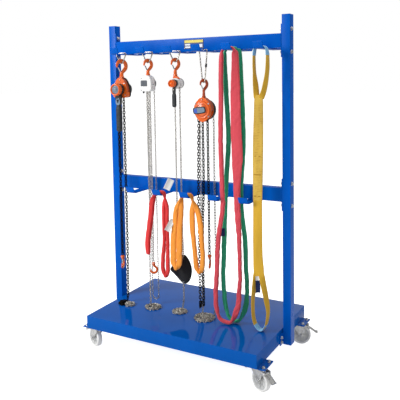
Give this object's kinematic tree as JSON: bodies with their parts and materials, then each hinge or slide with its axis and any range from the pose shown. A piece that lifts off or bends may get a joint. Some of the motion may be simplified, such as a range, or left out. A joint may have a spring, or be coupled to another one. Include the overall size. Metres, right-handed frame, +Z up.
{
  "type": "mobile lifting gear rack",
  "caption": "Blue wheeled steel rack with hook arms on two beams, carrying chain hoists and lifting slings; the deck rolls on braked swivel casters.",
  "frame": {"origin": "on the floor below the middle of the deck", "axes": "+Z up, X along the beams, -Y towards the side the gear hangs on"},
  "size_m": [1.4124, 0.8, 2.13],
  "materials": {
    "blue_paint": "gloss powder coat",
    "zinc_steel": "bright zinc plate",
    "wheel_nylon": "moulded, satin",
    "bright_steel": "zinc-plated wire and chain",
    "black_steel": "blackened alloy chain",
    "orange_paint": "satin paint",
    "white_paint": "satin paint",
    "black_paint": "satin paint",
    "black_nylon": "woven cloth",
    "red_polyester": "woven tubular cover",
    "orange_polyester": "woven tubular cover",
    "crimson_polyester": "woven tubular cover",
    "green_polyester": "woven tubular cover",
    "yellow_polyester": "woven webbing"
  },
  "bodies": {
    "rack": {"deck_tray": "blue_paint", "left_post": "blue_paint", "right_post": "blue_paint", "upper_beam": "blue_paint", "lower_beam": "blue_paint", "upper_hook_1": "blue_paint", "upper_hook_2": "blue_paint", "upper_hook_3": "blue_paint", "upper_hook_4": "blue_paint", "upper_hook_5": "blue_paint", "upper_hook_6": "blue_paint", "lower_hook_1": "blue_paint", "lower_hook_2": "blue_paint", "lower_hook_3": "blue_paint", "lower_hook_4": "blue_paint", "lower_hook_5": "blue_paint", "hoist_1_ring": "bright_steel", "hoist_1_top_hook": "orange_paint", "hoist_1_housing": "orange_paint", "hoist_1_load_chain": "black_steel", "hoist_2_ring": "bright_steel", "hoist_2_top_hook": "orange_paint", "hoist_2_housing": "white_paint", "hoist_2_load_chain": "bright_steel", "hoist_2_hand_chain": "bright_steel", "hoist_3_ring": "bright_steel", "hoist_3_top_hook": "orange_paint", "hoist_3_housing": "white_paint", "hoist_3_load_chain": "bright_steel", "hoist_3_chain_bag": "black_nylon", "hoist_4_rope_loop": "bright_steel", "hoist_4_top_hook": "orange_paint", "hoist_4_housing": "orange_paint", "hoist_4_load_chain": "black_steel", "hoist_4_hand_chain": "bright_steel", "red_round_sling": "red_polyester", "orange_round_sling": "orange_polyester", "crimson_round_sling": "crimson_polyester", "green_round_sling": "green_polyester", "yellow_webbing_sling": "yellow_polyester"},
    "swivel_front_left": {"caster_fork_front_left": "zinc_steel"},
    "wheel_front_left": {"caster_wheel_front_left": "wheel_nylon"},
    "pedal_front_left": {"brake_pedal_front_left": "zinc_steel"},
    "swivel_front_right": {"caster_fork_front_right": "zinc_steel"},
    "wheel_front_right": {"caster_wheel_front_right": "wheel_nylon"},
    "pedal_front_right": {"brake_pedal_front_right": "zinc_steel"},
    "swivel_rear_left": {"caster_fork_rear_left": "zinc_steel"},
    "wheel_rear_left": {"caster_wheel_rear_left": "wheel_nylon"},
    "pedal_rear_left": {"brake_pedal_rear_left": "zinc_steel"},
    "swivel_rear_right": {"caster_fork_rear_right": "zinc_steel"},
    "wheel_rear_right": {"caster_wheel_rear_right": "wheel_nylon"},
    "pedal_rear_right": {"brake_pedal_rear_right": "zinc_steel"},
    "hoist_1_lever_body": {"hoist_1_lever": "black_paint"},
    "hoist_1_knob_body": {"hoist_1_knob": "orange_paint"},
    "hoist_1_bottom_hook_body": {"hoist_1_bottom_hook": "orange_paint"},
    "hoist_2_bottom_hook_body": {"hoist_2_bottom_hook": "orange_paint"},
    "hoist_3_lever_body": {"hoist_3_lever": "black_paint"},
    "hoist_3_knob_body": {"hoist_3_knob": "orange_paint"},
    "hoist_3_bottom_hook_body": {"hoist_3_bottom_hook": "orange_paint"},
    "hoist_4_bottom_hook_body": {"hoist_4_bottom_hook": "orange_paint"}
  },
  "joints": [
    {"name": "caster_swivel_front_left", "type": "hinge", "parent": "rack", "child": "swivel_front_left", "pos_m": [-0.575, -0.327, 0.14], "axis": [0, 0, 1], "continuous": true},
    {"name": "wheel_spin_front_left", "type": "hinge", "parent": "swivel_front_left", "child": "wheel_front_left", "pos_m": [-0.60003, -0.31689, 0.0625], "axis": [-0.3746, -0.9272, 0], "continuous": true},
    {"name": "brake_pedal_lift_front_left", "type": "hinge", "parent": "swivel_front_left", "child": "pedal_front_left", "pos_m": [-0.6399, -0.30078, 0.118], "axis": [0.3746, 0.9272, 0], "range_deg": [0, 22]},
    {"name": "caster_swivel_front_right", "type": "hinge", "parent": "rack", "child": "swivel_front_right", "pos_m": [0.575, -0.327, 0.14], "axis": [0, 0, 1], "continuous": true},
    {"name": "wheel_spin_front_right", "type": "hinge", "parent": "swivel_front_right", "child": "wheel_front_right", "pos_m": [0.60003, -0.33711, 0.0625], "axis": [0.3746, 0.9272, 0], "continuous": true},
    {"name": "brake_pedal_lift_front_right", "type": "hinge", "parent": "swivel_front_right", "child": "pedal_front_right", "pos_m": [0.6399, -0.35322, 0.118], "axis": [-0.3746, -0.9272, 0], "range_deg": [0, 22]},
    {"name": "caster_swivel_rear_left", "type": "hinge", "parent": "rack", "child": "swivel_rear_left", "pos_m": [-0.575, 0.327, 0.14], "axis": [0, 0, 1], "continuous": true},
    {"name": "wheel_spin_rear_left", "type": "hinge", "parent": "swivel_rear_left", "child": "wheel_rear_left", "pos_m": [-0.60003, 0.31689, 0.0625], "axis": [0.3746, -0.9272, 0], "continuous": true},
    {"name": "brake_pedal_lift_rear_left", "type": "hinge", "parent": "swivel_rear_left", "child": "pedal_rear_left", "pos_m": [-0.6399, 0.30078, 0.118], "axis": [-0.3746, 0.9272, 0], "range_deg": [0, 22]},
    {"name": "caster_swivel_rear_right", "type": "hinge", "parent": "rack", "child": "swivel_rear_right", "pos_m": [0.575, 0.327, 0.14], "axis": [0, 0, 1], "continuous": true},
    {"name": "wheel_spin_rear_right", "type": "hinge", "parent": "swivel_rear_right", "child": "wheel_rear_right", "pos_m": [0.60003, 0.33711, 0.0625], "axis": [-0.3746, 0.9272, 0], "continuous": true},
    {"name": "brake_pedal_lift_rear_right", "type": "hinge", "parent": "swivel_rear_right", "child": "pedal_rear_right", "pos_m": [0.6399, 0.35322, 0.118], "axis": [0.3746, -0.9272, 0], "range_deg": [0, 22]},
    {"name": "hoist_1_lever_swing", "type": "hinge", "parent": "rack", "child": "hoist_1_lever_body", "pos_m": [-0.5125, -0.109, 1.698], "axis": [0, 1, 0], "range_deg": [-120, 120]},
    {"name": "hoist_1_knob_turn", "type": "hinge", "parent": "rack", "child": "hoist_1_knob_body", "pos_m": [-0.5125, -0.138, 1.698], "axis": [0, 1, 0], "continuous": true},
    {"name": "hoist_3_lever_swing", "type": "hinge", "parent": "rack", "child": "hoist_3_lever_body", "pos_m": [-0.0905, -0.09, 1.734], "axis": [0, 1, 0], "range_deg": [-150, 150]},
    {"name": "hoist_3_knob_turn", "type": "hinge", "parent": "rack", "child": "hoist_3_knob_body", "pos_m": [-0.0905, -0.114, 1.734], "axis": [0, 1, 0], "continuous": true},
    {"name": "hoist_1_bottom_hook_swivel", "type": "hinge", "parent": "rack", "child": "hoist_1_bottom_hook_body", "pos_m": [-0.5445, -0.072, 0.53], "axis": [0, 0, 1], "continuous": true},
    {"name": "hoist_2_bottom_hook_swivel", "type": "hinge", "parent": "rack", "child": "hoist_2_bottom_hook_body", "pos_m": [-0.2955, -0.06, 0.515], "axis": [0, 0, 1], "continuous": true},
    {"name": "hoist_3_bottom_hook_swivel", "type": "hinge", "parent": "rack", "child": "hoist_3_bottom_hook_body", "pos_m": [-0.1085, -0.052, 0.725], "axis": [0, 0, 1], "continuous": true},
    {"name": "hoist_4_bottom_hook_swivel", "type": "hinge", "parent": "rack", "child": "hoist_4_bottom_hook_body", "pos_m": [0.126, -0.05, 0.62], "axis": [0, 0, 1], "continuous": true}
  ]
}
